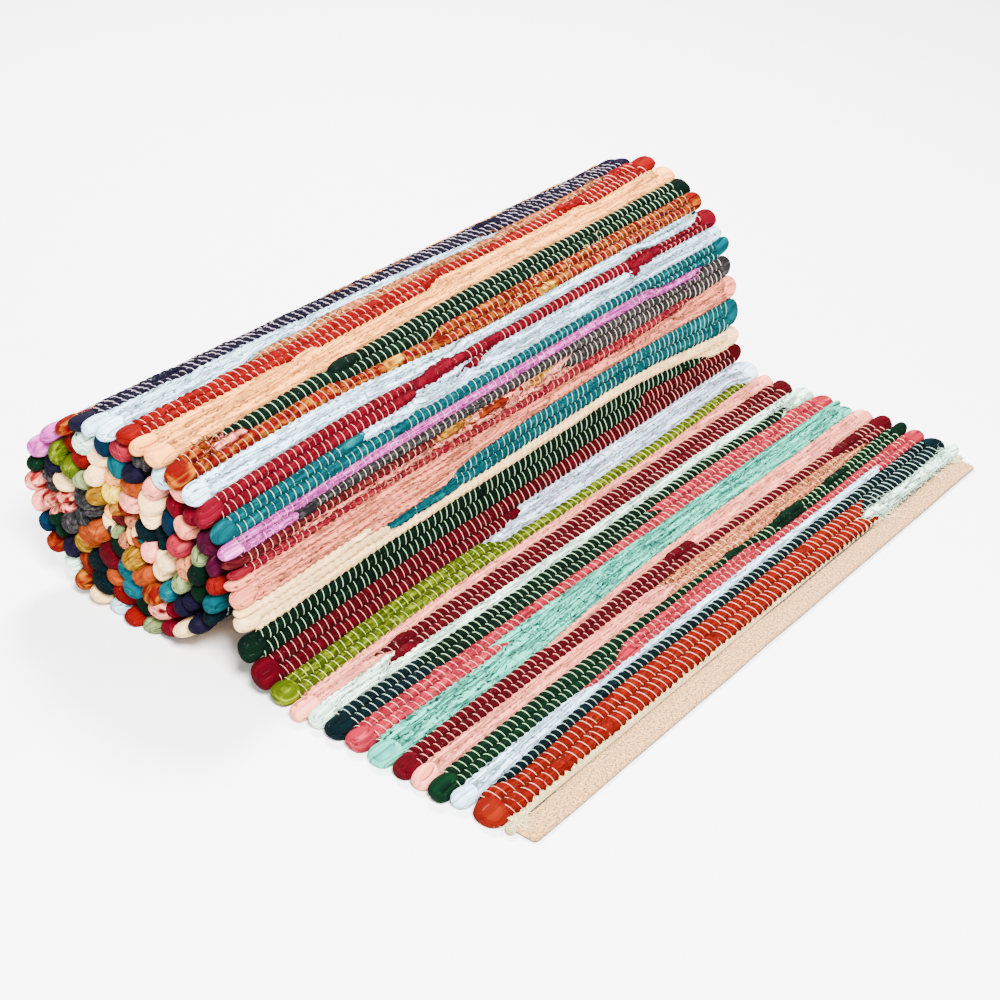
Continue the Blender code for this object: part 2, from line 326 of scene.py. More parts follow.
# Loose threads on the rows: cloth, row, share of the width, how many threads, their length in mm and
# their spread across the rug in mm
TUFTS = table("""
mint r1 0.80 40 12 60, mint r1 0.93 40 12 70, black_green r18 0.91 16 8 30, mint r18 0.95 20 9 24
sea_foam r14 0.28 20 6 20, sea_foam r14 0.43 26 7 34, sea_foam r14 0.70 26 7 30, sea_foam r13 0.36 26 7 60
aqua r14 0.50 46 7 90, tan r8 0.60 40 7 110, tan r9 0.78 40 7 110, cocoa r9 0.47 14 6 40
cocoa r8 0.74 12 6 90, cocoa r55 0.45 16 7 120, mist r24 0.42 22 7 40, mist r25 0.60 26 8 60
blush_print r36 0.30 40 8 90, blush_print r36 0.50 33 8 70, rose r35 0.70 33 7 60
marigold r37 0.40 16 7 16, lilac r39 0.90 13 7 20, salmon r34 0.38 20 7 30, ember_print r47 0.065 33 9 20
blush_print r47 0.075 26 9 18, ember_print r46 0.55 40 8 120, blush_print r46 0.85 33 8 110
cream r47 0.66 26 7 150, sand r55 0.60 46 9 130, sand r55 0.85 33 9 60, tan r62 0.44 30 12 16
peach r62 0.50 24 11 16, tan r62 0.56 17 9 14, ink r60 0.15 20 9 12, ink r62 0.78 13 9 8
""")

# Where a strip ends or springs out between the loops it lies as a lump on its row: cloth, row, share of
# the width, and its length, width and height in mm
LUMPS = table("""
orange r1 0.116 11 13 7.2, orange r1 0.200 10 11 6.4, wine r20 0.160 15 12 7.2, wine r21 0.172 15 12 7.4
wine r11 0.536 26 12 7.0, wine r10 0.900 34 12 7.0, green r7 0.700 38 14 7.2, green r7 0.575 16 11 6.6
green r7 0.820 24 11 6.8, coral r5 0.325 16 15 7.4, wine r25 0.445 15 9 6.8, cream r31 0.195 16 9 6.6
teal r30 0.330 44 10 7.2, teal r30 0.265 26 6 6.6, teal r41 0.225 20 10 7.0, teal r40 0.30 14 9 6.4
grey r38 0.125 16 10 6.8, crimson r42 0.330 15 11 7.2, crimson r43 0.400 54 16 8.0
crimson r43 0.500 18 7 6.8, crimson r43 0.830 40 12 7.2, crimson r42 0.795 14 9 6.8
marigold r37 0.375 20 8 6.8, rust r37 0.455 30 8 6.8, marigold r46 0.350 18 10 7.0
marigold r46 0.64 20 9 6.6, blush_print r47 0.09 26 10 7.2, black_green r49 0.290 20 13 8.0
peach r52 0.27 18 8 6.4, scarlet r53 0.505 16 9 6.8, scarlet r54 0.80 26 13 7.6, ink r60 0.14 22 10 7.6
ink r61 0.70 26 10 7.0, mint r1 0.775 16 10 6.4
""")

CAMERA = {
    "focus": (-0.0343, -0.002, 0.0),
    "azimuth": 37.72,
    "elevation": 32.55,
    "distance": 1.509,
    "roll": 2.0,
    "lens": 67.93,
    "sensor": 36.0,
}
# The lamps: name, place, size and power
LIGHTS = (("key_light", (1.1, -0.9, 1.8), 0.7, 300), ("back_light", (-0.9, 0.7, 1.7), 0.5, 175))
SURROUND_LEVEL = 1.55
LIGHT_LEVEL = 5.9  # how bright the light on the rug is, which screen divides a colour by
FLOOR_HALF = 6.0
RAG_DEPTH = 0.0014  # of the relief of a rag

draw = np.random.default_rng(23)


def join(*values):
    """Arrays of one shape, as the columns of one array."""
    return np.stack(values, axis=-1)


def smooth(value):
    """Eases from 0 to 1 as the value goes from 0 to 1."""
    value = np.clip(value, 0, 1)
    return value * value * (3 - 2 * value)


# ---------------- the path of the rolled cloth


def spiral_point(edge, start, centre, angle):
    """Where the rolled cloth is at this angle, counted from start at the top of the front."""
    turns = (angle - start) / (2 * math.pi)
    wide = edge["wide"] - edge["step_wide"] * turns
    high = edge["high"] - edge["step_high"] * turns
    x = centre[0] + edge["drift_x"] * turns + wide * np.cos(angle)
    z = centre[1] + edge["drift_z"] * turns + high * np.sin(angle)
    return join(x, z)


def spiral_start(edge):
    """The angle at which the outer turn leans back as far as the top of the front does."""
    low, high = 0.0, math.pi / 2
    for _ in range(40):
        middle = (low + high) / 2
        ahead = spiral_point(edge, middle, (0, 0), np.array([middle, middle + 1e-4]))
        step = ahead[1] - ahead[0]
        if math.atan2(-step[0], step[1]) < math.radians(edge["lean_high"]):
            low = middle
        else:
            high = middle
    return middle


def edge_path(edge):
    """The cloth's middle line at one long edge, from the hem to the core, as rows of (x, z)."""
    floor = ROW_THICKNESS / 2
    lean_low = math.radians(edge["lean_low"])
    lean_high = math.radians(edge["lean_high"])
    turn = np.linspace(0, math.pi / 2 - lean_low, ARC_STEPS)
    bend_x = -edge["flat"] - edge["bend"] * np.sin(turn)
    bend_z = floor + edge["bend"] * (1 - np.cos(turn))
    bend = join(bend_x, bend_z)
    start = spiral_start(edge)
    first_turn = np.linspace(start, start + 2 * math.pi, STEPS_A_TURN)
    lowest = spiral_point(edge, start, (0, 0), first_turn)[:, 1].min()
    centre_z = floor - FLAT_SPOT_DEPTH - lowest
    top = spiral_point(edge, start, (0, centre_z), start)
    radius = (top[1] - bend[-1, 1]) / (math.sin(lean_high) - math.sin(lean_low))
    lean = np.linspace(lean_low, lean_high, ARC_STEPS)
    front_x = bend[-1, 0] + radius * (np.cos(lean) - math.cos(lean_low))
    front_z = bend[-1, 1] + radius * (np.sin(lean) - math.sin(lean_low))
    front = join(front_x, front_z)
    centre = (front[-1, 0] - top[0], centre_z)
    angles = np.linspace(start, start + 2 * math.pi * TURNS_DRAWN, STEPS_A_TURN * TURNS_DRAWN)
    rolled = spiral_point(edge, start, centre, angles)
    return np.concatenate([[[0.0, floor]], bend, front[1:], rolled[1:]])


class Cloth:
    """Carries points of the flat rug onto the rolled one."""

    def __init__(self):
        self.paths = [edge_path(NEAR), edge_path(FAR)]
        middle = (self.paths[0] + self.paths[1]) / 2
        steps = np.linalg.norm(np.diff(middle, axis=0), axis=1)
        self.distance = np.concatenate([[0.0], np.cumsum(steps)])
        self.facing = []
        for path in self.paths:
            along = np.gradient(path, axis=0)
            along /= np.linalg.norm(along, axis=1)[:, None]
            self.facing.append(join(along[:, 1], -along[:, 0]))

    def place(self, distance, across, height):
        """Points on the rolled rug. Height is off the middle of the cloth, on its outer side."""
        distance, across, height = np.broadcast_arrays(distance, across, height)
        share = (across - NEAR["y"]) / (FAR["y"] - NEAR["y"])

        def read(tables, k):
            near, far = (np.interp(distance, self.distance, table[:, k]) for table in tables)
            return (1 - share) * near + share * far

        x, z = read(self.paths, 0), read(self.paths, 1)
        out_x, out_z = read(self.facing, 0), read(self.facing, 1)
        size = np.hypot(out_x, out_z)
        x = x + height * out_x / size + cad_box[1][0] - np.minimum(distance, 0)
        z = np.maximum(z + height * out_z / size, 0.0002)
        return join(x, across, z)


cloth = Cloth()


# ---------------- gathering points into pieces


def show(name, data):
    """A new object of the scene with this mesh, light or camera."""
    obj = bpy.data.objects.new(name, data)
    bpy.context.scene.collection.objects.link(obj)
    return obj


class Pile:
    """Strips, loops and knobs of one cloth, gathered into one piece. Each is a grid of points, closed
    round its second side, and keeps a shade of its own."""

    def __init__(self):
        self.kept = defaultdict(list)
        self.sizes = []
        self.count = 0

    def add(self, grids, length=0.0, girth=0.025, tone=None, closed=True, strip=None, side=0.0, calm=0.0,
            dye=(1.0, 1.0, 1.0)):
        """grids is points of shape (how many, along, round, 3). strip may give each point its place
        along and round its strip, in metres, side how much painted shade it gets from the groove beside it,
        calm how much fainter its painted crease lines and its lint are, and the tint is a painted reflection
        of the colour of the cloth under it, darker over dark cloth as painted shade."""
        many, n, m, _ = grids.shape
        tone = draw.random(many) if tone is None else np.array(tone)
        wrap = m if closed else m - 1
        i, j = (index.ravel() for index in np.indices((n - 1, wrap)))
        ahead = (j + 1) % m
        quad = join(i * m + j, i * m + ahead, (i + 1) * m + ahead, (i + 1) * m + j)
        along = np.tile(join(i, i, i + 1, i + 1) / (n - 1), (many, 1))
        around = np.tile(join(j, j + 1, j + 1, j) / wrap, (many, 1))
        if strip is None:
            strip_u, strip_v = along * length, around * girth
        else:
            strip_u, strip_v = np.moveaxis(strip.reshape(many, -1, 2)[:, quad], -1, 0).reshape(2, -1, 4)
        shift = np.repeat(STRIP_SHIFT * (len(self.sizes) + np.arange(many)), len(quad))[:, None]
        first = self.count + np.arange(many)[:, None, None] * n * m
        added = {
            "points": grids.reshape(-1, 3),
            "faces": (quad + first).reshape(-1, 4),
            "bake": join(along, around),
            "strip": join(strip_u + shift, strip_v),
            "dye": np.repeat(np.broadcast_to(dye, (many, 3)), n * m, axis=0),
        }
        for label, value in (("tone", tone[:, None, None]), ("side", side), ("calm", calm)):
            added[label] = np.broadcast_to(value, (many, n, m)).ravel()
        for label, values in added.items():
            self.kept[label].append(values)
        self.sizes += [len(quad)] * many
        self.count += many * n * m

    def piece(self, name, material, columns=1):
        """One object. Its OFBake map gives each grid a cell of its own, and its Strip map is in
        metres along and round the strip."""
        kept = {label: np.concatenate(values) for label, values in self.kept.items()}
        which = np.repeat(np.arange(len(self.sizes)), self.sizes)
        cell = join(which % columns, which // columns)[:, None]
        cells = (columns, math.ceil(len(self.sizes) / columns))
        bake = (cell + (0.03, 0.06) + (0.94, 0.88) * kept["bake"]) / cells
        mesh = bpy.data.meshes.new(name)
        mesh.from_pydata(kept["points"].tolist(), [], kept["faces"].tolist())
        for label, places in (("OFBake", bake), ("Strip", kept["strip"])):
            mesh.uv_layers.new(name=label).data.foreach_set("uv", places.astype(np.float32).ravel())
        # Besides tone and calm these carry painted light: side the painted shade by grooves and edges, and
        # the warp's tint a painted reflection of the cloth under it
        for label, kind, field in (
            ("tone", "FLOAT", "value"), ("side", "FLOAT", "value"), ("calm", "FLOAT", "value"),
            ("dye", "FLOAT_VECTOR", "vector"),
        ):
            values = kept[label].astype(np.float32).ravel()
            mesh.attributes.new(label, kind, "POINT").data.foreach_set(field, values)
        mesh.materials.append(material)
        mesh.shade_smooth()
        return show(name, mesh)


# ---------------- the rows of rag

# The strips are drawn at rungs across the rug, on each warp and half way between
RUNG = WARP_STEP / 2
RUNGS = FIRST_WARP - 2 * RUNG + RUNG * np.arange(2 * WARPS + 5)
RUNG_WARP = np.arange(len(RUNGS)) // 2 - 1
RUNG_IS_WARP = np.arange(len(RUNGS)) % 2 == 0
warp_shift = WARP_WANDER * draw.standard_normal(WARPS + 4)
RUNGS = RUNGS + np.where(RUNG_IS_WARP, warp_shift[RUNG_WARP], 0)
RUNGS = RUNGS[np.abs(RUNGS) < ROW_REACH]
RUNG_WARP = RUNG_WARP[: len(RUNGS)]
RUNG_IS_WARP = RUNG_IS_WARP[: len(RUNGS)]


def across_rug(share):
    return NEAR["y"] + share * (FAR["y"] - NEAR["y"])


def cover(strips):
    """1 where a row has a strip and 0 where it has none, eased over a few rungs."""
    found = np.zeros(len(RUNGS))
    for _, start, end in strips:
        low = 2.0 if start <= 0 else (RUNGS - across_rug(start)) / COVER_EASE + 0.5
        high = 2.0 if end >= 1 else (across_rug(end) - RUNGS) / COVER_EASE + 0.5
        found = np.maximum(found, np.minimum(smooth(low), smooth(high)))
    return found


def anchor_line(name):
    """Where an anchored row starts at each rung, eased between the charted places."""
    spread = np.linspace(-0.04, 0.04, 9)
    values = [np.interp(RUNGS + shift, ANCHOR_PLACES, ANCHORS[name]) for shift in spread]
    return np.mean(values, axis=0) * MM


def all_rows():
    """The charted rows, then those on the back of the roll in pairs of one colour at the near edge."""
    rows = list(ROWS)
    for k, near in enumerate(BACK_KNOBS):
        for half in ("", "h"):
            breaks = sorted(draw.uniform(0.12, 0.9, draw.integers(1, 3)))
            strips = []
            start, kind = 0, near
            for end in breaks + [1]:
                strips.append((kind, start, end))
                start, kind = end, CLOTH_NAMES[draw.integers(len(CLOTH_NAMES))]
            rows.append((f"b{27 + k}{half}", 8.8, strips))
    return rows


def row_borders(rows):
    """The line between each row and the next, at each rung: one more line than rows."""
    labels = [row[0] for row in rows]
    widths = [row[1] * (0.02 + 0.98 * cover(row[2])) for row in rows]
    borders = np.zeros((len(rows) + 1, len(RUNGS)))
    marks = [labels.index(name) for name in ANCHORS if name != "end"] + [len(rows)]
    lines = [anchor_line(name) for name in ANCHORS]
    for k, (first, last) in enumerate(zip(marks, marks[1:])):
        run = np.cumsum([0 * RUNGS, *widths[first:last]], axis=0)
        borders[first : last + 1] = lines[k] + (lines[k + 1] - lines[k]) * run / run[-1]
    # Rows swell between the loops, so each line waves from warp to warp, and wanders a little
    wander = np.cumsum(draw.standard_normal(borders.shape), axis=1)
    wander -= wander.mean(axis=1)[:, None]
    even = (RUNG_WARP + np.arange(len(borders))[:, None]) % 2 == 0
    swell = np.where(RUNG_IS_WARP, np.where(even, 1, -1), 0)
    return borders + ROW_SWELL * swell + np.clip(0.00002 * wander, -0.0005, 0.0005)


def lay_strip(pile, row, low, high, fine, kind, start, end):
    """One strip of rag along its row, plump between the loops of warp and drawn in under them."""
    section = SECTION if fine else BACK_SECTION
    y_start = -1 if start <= 0 else across_rug(start) - END_LENGTH / 2
    y_end = 1 if end >= 1 else across_rug(end) + END_LENGTH / 2
    use = (RUNGS >= y_start) & (RUNGS <= y_end) & (fine | RUNG_IS_WARP)
    if use.sum() < 4:
        return
    y, low, high = RUNGS[use], low[use], high[use]
    plump = CLOTHS[kind]["plump"]
    crest = np.where(RUNG_IS_WARP[use], np.where((RUNG_WARP[use] + row) % 2 == 0, 0.0, 1.0), 0.74)
    puff = plump + (1 - plump) * crest
    opening, closing = smooth((y - y_start) / END_LENGTH), smooth((y_end - y) / END_LENGTH)
    full = np.minimum(opening, closing)
    edge = np.clip((ROW_END - np.abs(y)) / 0.006, 0, 1) ** 0.5
    side = 1 if row % 2 else -1
    loose = 0.0005 * np.convolve(draw.standard_normal(len(y) + 8), np.ones(9) / 3, mode="valid")
    half_wide = (high - low) / 2 * (1.04 + 0.12 * puff) * (0.10 + 0.90 * full) * edge
    middle = (high + low) / 2 + side * (high - low) * 0.42 * (opening - closing)
    above = (0.0038 + 0.0019 * puff + 0.5 * loose) * (0.45 + 0.55 * full) * edge
    below = 0.0050 * (0.45 + 0.55 * full)
    cos, sin = np.cos(section), np.sin(section)
    cos = np.sign(cos) * np.abs(cos) ** 0.72
    height = np.where(sin > 0, above[:, None] * sin, below[:, None] * sin)
    height = height + draw.uniform(-0.00018, 0.00018, height.shape)
    grid = cloth.place(middle[:, None] + half_wide[:, None] * cos, y[:, None], height)
    # The sides of the strip by the groove between rows, which the material darkens as painted shade
    groove = smooth((np.abs(section - math.pi / 2) - 0.85) / 0.7)
    pile.add(grid[None], length=y[-1] - y[0], side=groove)


def cloth_at_rungs(strips):
    """How plump the cloth of a row is at each rung, and the tint that it paints on the warp there: a
    painted reflection of its colour, darker over dark cloth as painted shade.
    """
    plump, tint = np.zeros(len(RUNGS)), np.ones((len(RUNGS), 3))
    for kind, start, end in strips:
        here = (RUNGS >= across_rug(start)) & (RUNGS <= across_rug(end))
        colour = np.array(screen(CLOTHS[kind]["colour"])[:3])
        plump[here] = CLOTHS[kind]["plump"]
        # Painted reflected colour of the cloth on the white warp, and painted shade over dark cloth
        tint[here] = (0.45 + 0.55 * colour / colour.max()) * (0.74 + 0.26 * smooth(2 * colour.max()))
    return plump, tint


def lay_loops(pile, row, low, high, fine, strips, lumps):
    """The loops of warp that cross one row, each a thin arch from groove to groove. Where a strip has
    sprung out between them they stay hidden below it."""
    over = RUNG_IS_WARP & ((RUNG_WARP + row) % 2 == 0) & (cover(strips) > 0.5)
    middle = (low + high) / 2
    for _, distance, across, long, wide, _ in lumps:
        over &= (np.abs(RUNGS - across) > 0.5 * long) | (np.abs(middle - distance) > 0.42 * wide)
    plump, tint = cloth_at_rungs(strips)
    y, low, high, plump = (line[over, None, None] for line in (RUNGS, low, high, plump))
    steps, rise = (FINE_ARCH if fine else BACK_ARCH)[:, :, None]
    lift = draw.uniform(0.92, 1.10, y.shape) * (1 - 0.22 * smooth(plump / 0.55))
    slant = draw.normal(0, 0.0004, y.shape) * np.linspace(-1, 1, len(steps))[:, None]
    wide = WARP_HALF_WIDTH * draw.uniform(0.85, 1.2, y.shape) * (0.55 + 0.45 * np.sin(steps * math.pi))
    grid_d = low + (high - low) * steps
    grid_y = y + slant + wide * np.array((1, 0, -1))
    grid_h = 0.00005 + rise * MM * lift + WARP_HEIGHT * np.array((-0.2, 1, -0.2))
    pile.add(cloth.place(grid_d, grid_y, grid_h), 0.012, 0.004, closed=False, dye=tint[over])


# ---------------- knobs

KNOB_ROOT = 0.2880
OUTWARD = math.pi * np.array(
    (0.08, 0.15, 0.24, 0.34, 0.44, 0.53, 0.62, 0.70, 0.77, 0.83, 0.88, 0.93, 0.97, 1.0)
)
ROUND = np.linspace(0, 2 * math.pi, 20, endpoint=False)
# How a knob is folded: (how often, the least and most waves round it and along it, and their depth)
FOLDS = (
    (0.40, (0.6, 1.6), (-0.6, 0.6), (0.02, 0.08)),
    (0.30, (0.2, 0.6), (2.2, 4.2), (0.04, 0.10)),
    (0.30, (1.0, 2.2), (-1.2, 1.2), (0.10, 0.22)),
)


def creases(place, depth):
    """Narrow creases between broad folds."""
    return 1 - depth * (1 - np.abs(np.sin(place))) ** 3


def knob(pile, low, high, side, reach, thick, tilt=0.0, lift=0.0):
    """Where a strip turns back at the long edge: a soft ball of cloth, creased along the strip or
    gathered across it.

    low and high are where its two rows start and end, side is -1 at the near edge and 1 at the far
    one, reach is how far out it goes, and tilt turns it round the line across the rug."""
    out, section = np.meshgrid(OUTWARD, ROUND, indexing="ij")
    blunt = draw.uniform(0.50, 0.72)
    size = np.sin(out) ** np.where(out < math.pi / 2, 0.34, blunt)
    share = (1 - np.cos(out)) / 2
    wide = (high - low) / 2 * draw.uniform(0.97, 1.10)
    wide = wide - 0.4 * max(0.0, wide - 0.0100)
    lengthwise, crosswise = np.sin(section) * size, np.cos(section) * size
    _, around, along, depth = FOLDS[draw.choice(len(FOLDS), p=[row[0] for row in FOLDS])]
    place = draw.uniform(*around) * lengthwise + draw.uniform(*along) * crosswise
    place = place + draw.uniform(-0.8, 0.8) * share
    folds = creases(place + draw.uniform(0, math.pi), draw.uniform(*depth))
    lump = 1 + draw.uniform(0.0, 0.09) * np.sin(2 * section + draw.uniform(0, 6.28) + 3 * share)
    size = size * folds * lump
    lean_d, lean_h = draw.normal(0, 0.0013, 2)
    flat_d, flat_h = wide * size * np.cos(section), thick / 2 * size * np.sin(section)
    turned = tilt * smooth(share * 1.6)
    distance = (low + high) / 2 + flat_d * np.cos(turned) - flat_h * np.sin(turned) + lean_d * share**2
    height = lift + flat_d * np.sin(turned) + flat_h * np.cos(turned) + lean_h * share**2
    across = KNOB_ROOT + (reach - KNOB_ROOT) * share + 0.0012 * (folds - 1) * share
    if draw.random() < 0.85:
        lengthwise, crosswise = crosswise, lengthwise
    wavy = 0.0010 * np.sin(draw.uniform(1.5, 3.5) * crosswise + draw.uniform(0, 6.28))
    run, turn = draw.uniform(0.008, 0.020), draw.uniform(0.0026, 0.0044)
    along = join(run * crosswise + 0.006 * share, turn * lengthwise + wavy)
    grid = cloth.place(distance, side * across, height)[None]
    pile.add(grid, 0.03, 0.04, strip=along[None], calm=draw.uniform(0.35, 0.75))


def lay_lump(pile, distance, across, long, wide, high):
    """A stretch of rag that lies loose on its row: one crumpled fold or a few, one after another."""
    knots = max(1, round(long / 0.014))
    places = across + long * ((np.arange(knots) + 0.5) / knots - 0.5)
    taper = 1 - 0.35 * np.abs(np.linspace(-1, 1, knots)) if knots > 2 else np.ones(knots)
    for place, full in zip(places, taper):
        run, section = np.meshgrid(np.linspace(0.04, 0.96, 11) * math.pi, ROUND, indexing="ij")
        fold = draw.uniform(1.2, 2.6) * np.sin(section + run) + draw.uniform(-1.5, 1.5) * run
        ragged = 1 + 0.05 * draw.standard_normal(run.shape)
        size = np.sin(run) ** 0.42 * creases(fold + draw.uniform(0, 3), draw.uniform(0.08, 0.24)) * ragged
        half = long / knots * draw.uniform(0.66, 0.84)
        slant = draw.uniform(-0.35, 0.35)
        width = wide / 2 * full * draw.uniform(0.85, 1.12) * size
        y = place - half * np.cos(run) + slant * width * np.cos(section)
        rise = high * draw.uniform(0.88, 1.0) * size * np.sin(section)
        grid_d = distance + draw.normal(0, 0.0006) + width * np.cos(section)
        spot = join(0.6 * half * run, 0.010 + 0.006 * np.sin(section))
        pile.add(cloth.place(grid_d, y, 0.0002 + rise)[None], long, 0.03, strip=spot[None])


def runs_at_edge(rows, borders, side):
    """The knobs that the rows make at one long edge: (cloth, low, high). Two rows of one cloth, one
    after the other, share a knob."""
    at = 0 if side < 0 else -1
    knobs, single = [], False
    for row, (_, _, strips) in enumerate(rows):
        kind, start, end = strips[at]
        if start > 0 if side < 0 else end < 0.99:
            continue
        low, high = borders[row][at], borders[row + 1][at]
        single = not (single and knobs[-1][0] == kind)
        if not single:
            low = knobs.pop()[1]
        knobs.append((kind, low, high))
    return knobs


# ---------------- loose threads


def lay_threads(pile, distance, across, length, spread, many, lift=0.0050, radius=0.00042):
    """Loose threads lying and curling on the face of the rug round one place."""
    steps, each = np.linspace(0, 1, 6)[:, None], (many, 1, 1)
    start_d = distance + draw.normal(0, 0.0022, each)
    start_y = across + draw.uniform(-0.5, 0.5, each) * spread
    heading = draw.normal(0, 0.75, each) + np.where(draw.random(each) < 0.5, 0, math.pi)
    angle = heading + draw.normal(0, 1.3, each) * steps
    run = length * draw.uniform(0.4, 1.15, each) * steps
    line_y = start_y + run * np.cos(angle)
    line_d = start_d + run * np.sin(angle)
    line_h = lift + draw.uniform(-0.0006, 0.0022, each) * np.sin(steps * math.pi) - 0.0008 * steps
    thin = radius * (1 - 0.5 * steps)
    grid_h = line_h + thin * np.sin(THREAD_SECTION)
    grid_y = line_y - thin * np.cos(THREAD_SECTION) * np.sin(angle)
    grid_d = line_d + thin * np.cos(THREAD_SECTION) * np.cos(angle)
    pile.add(cloth.place(grid_d, grid_y, grid_h), length=0.01, girth=0.002)


# ---------------- materials


def screen(colour):
    """The colour of cloth that shows as this screen colour, from 0 to 255, under the studio light.
    The camera pales bright and pale colours, so they are laid down richer."""
    part = np.array(colour) / 255
    light = np.where(part <= 0.04045, part / 12.92, ((part + 0.055) / 1.055) ** 2.4)
    grey = light @ (0.2126, 0.7152, 0.0722)
    pale = light.min() / light.max()
    rich = grey + (1.08 + min(2.6 * pale, 1.0)) * (light - grey)
    rich = np.maximum(rich, 0.35 * light + 0.0006)
    base = rich * (0.74 + 11 * grey**3) / LIGHT_LEVEL
    base = base * min(1, 0.9 / base.max())
    return (*base.tolist(), 1.0)


class Board:
    """Adds nodes to one tree and wires them. A value is a socket or a constant."""

    def __init__(self, tree):
        self.tree = tree

    def feed(self, sockets, values):
        """Wires or sets sockets, given by name or number."""
        for label, value in values.items():
            if isinstance(value, bpy.types.NodeSocket):
                self.tree.links.new(value, sockets[label])
            else:
                sockets[label].default_value = value

    def add(self, kind, values=None, **settings):
        node = self.tree.nodes.new("ShaderNode" + kind)
        for name, value in settings.items():
            setattr(node, name, value)
        self.feed(node.inputs, values or {})
        return node

    def maths(self, operation, first, *others):
        """One operation, or a chain of it that takes in one more value each time."""
        for other in others or (None,):
            values = {0: first} if other is None else {0: first, 1: other}
            first = self.add("Math", values, operation=operation).outputs[0]
        return first

    def times(self, *values):
        return self.maths("MULTIPLY", *values)

    def plus(self, *values):
        return self.maths("ADD", *values)

    def minus(self, *values):
        return self.maths("SUBTRACT", *values)

    def spread(self, *values):
        """The value, from low and high, and to the low and high that it is spread to."""
        names = ("Value", "From Min", "From Max", "To Min", "To Max")
        return self.add("MapRange", dict(zip(names, values)), clamp=True).outputs["Result"]

    def mix(self, factor, first, second, blend="MIX"):
        values = {0: factor, 6: first, 7: second}
        return self.add("Mix", values, data_type="RGBA", blend_type=blend).outputs[2]

    def darken(self, colour, value):
        grey = self.add("CombineColor", dict.fromkeys(("Red", "Green", "Blue"), value))
        return self.mix(1, colour, grey.outputs[0], "MULTIPLY")

    def noise(self, place, scale, detail, rough=0.5):
        values = {"Vector": place, "Scale": scale, "Detail": detail, "Roughness": rough}
        return self.add("TexNoise", values).outputs[0]

    def attribute(self, name, output="Fac"):
        return self.add("Attribute", attribute_name=name).outputs[output]

    def strip_place(self):
        """The Strip map's place, X along the strip and Y round it."""
        return self.add("SeparateXYZ", {0: self.add("UVMap", uv_map="Strip").outputs[0]}).outputs

    def grain(self, along, around, detail=2, rough=0.5):
        """Noise on the Strip map, stretched by a scale along the strip and one round it."""
        at = self.strip_place()
        place = self.add("CombineXYZ", {0: self.times(at[0], along), 1: self.times(at[1], around)})
        return self.noise(place.outputs[0], 1, detail, rough)

    def folds(self):
        """The folds along a strip: noise for the broad ones, and how far it is to a fine one."""
        broad = self.grain(26, 620, 3, 0.6)
        return broad, self.maths("ABSOLUTE", self.minus(self.grain(20, 340), 0.5))

    def bump(self, height, depth):
        return self.add("Bump", {"Height": height, "Distance": depth, "Strength": 1}).outputs[0]


def new_group(name, inputs, outputs):
    """A shader node group: its board, its inputs and its outputs. Inputs are given with their first
    values, a number or a colour, and outputs with their kinds."""
    tree = bpy.data.node_groups.new(name, "ShaderNodeTree")
    for label, value in inputs.items():
        kind = "NodeSocketFloat" if isinstance(value, float) else "NodeSocketColor"
        tree.interface.new_socket(label, in_out="INPUT", socket_type=kind).default_value = value
    for label, kind in outputs.items():
        tree.interface.new_socket(label, in_out="OUTPUT", socket_type="NodeSocket" + kind)
    return Board(tree), tree.nodes.new("NodeGroupInput").outputs, tree.nodes.new("NodeGroupOutput").inputs


def rag_colour_group():
    """Colour and roughness of a strip of worn jersey: patches of a second colour, a tone of its own, paler
    lint where it stands up, and painted shade in its broad folds, along its fine crease lines, in its pits
    and by the groove beside it."""
    grey = (0.5, 0.5, 0.5, 1)
    board, given, result = new_group(
        "rag_colour",
        {"Base": grey, "Second": grey, "Share": 0.3, "Patch": 120.0, "Shade": 0.5, "Crevice_Shade": 1.0},
        {"Color": "Color", "Roughness": "Float"},
    )
    broad, fine = board.folds()
    patch = board.grain(given["Patch"], board.times(given["Patch"], 2.2))
    edge = board.minus(0.78, board.times(given["Share"], 0.62))
    mask = board.spread(patch, board.minus(edge, 0.09), board.plus(edge, 0.09))
    uncreased = board.minus(1, board.attribute("calm"))
    value = board.spread(board.attribute("tone"), 0, 1, 0.86, 1.08)
    # Painted shade: each mark darkens the colour by its share of Shade, in the broad folds, along the fine
    # crease lines, in the pits and on the strip's side by the groove between rows
    for dark, most in (
        (board.spread(broad, 0.32, 0.54, 1, 0), 0.40),
        (board.spread(fine, 0.004, 0.075, 1, 0), board.times(given["Crevice_Shade"], uncreased)),
        (board.spread(board.grain(260, 420, 1), 0.33, 0.40, 1, 0), given["Crevice_Shade"]),
        (board.attribute("side"), 1.15),
    ):
        value = board.times(value, board.minus(1, board.times(dark, most, given["Shade"])))
    colour = board.darken(board.mix(mask, given["Base"], given["Second"]), value)
    lint = board.times(board.spread(board.grain(900, 1100), 0.66, 0.82, 0, 0.12), uncreased)
    board.feed(result, {
        "Color": board.mix(lint, colour, (0.82, 0.78, 0.74, 1)),
        "Roughness": board.spread(broad, 0.2, 0.8, 0.98, 0.82),
    })
    return board.tree


def rag_relief_group():
    """Normal of a strip: long creases and folds, the fine ribs of jersey, and fuzz."""
    board, given, result = new_group("rag_relief", {"Crease": 1.0, "Depth": 0.0006}, {"Normal": "Vector"})
    broad, fine = board.folds()
    bow = board.times(board.grain(60, 60), 9)
    ribs = board.maths("SINE", board.plus(board.times(board.strip_place()[1], 8200), bow))
    height = board.plus(broad, board.spread(fine, 0, 0.06, -0.35, 0))
    height = board.times(height, board.times(given["Crease"], 1.5))
    for relief, share in ((board.grain(240, 420), 0.45), (ribs, 0.07), (board.grain(1600, 1600), 0.16)):
        height = board.plus(height, board.times(relief, share))
    board.feed(result, {"Normal": board.bump(height, given["Depth"])})
    return board.tree


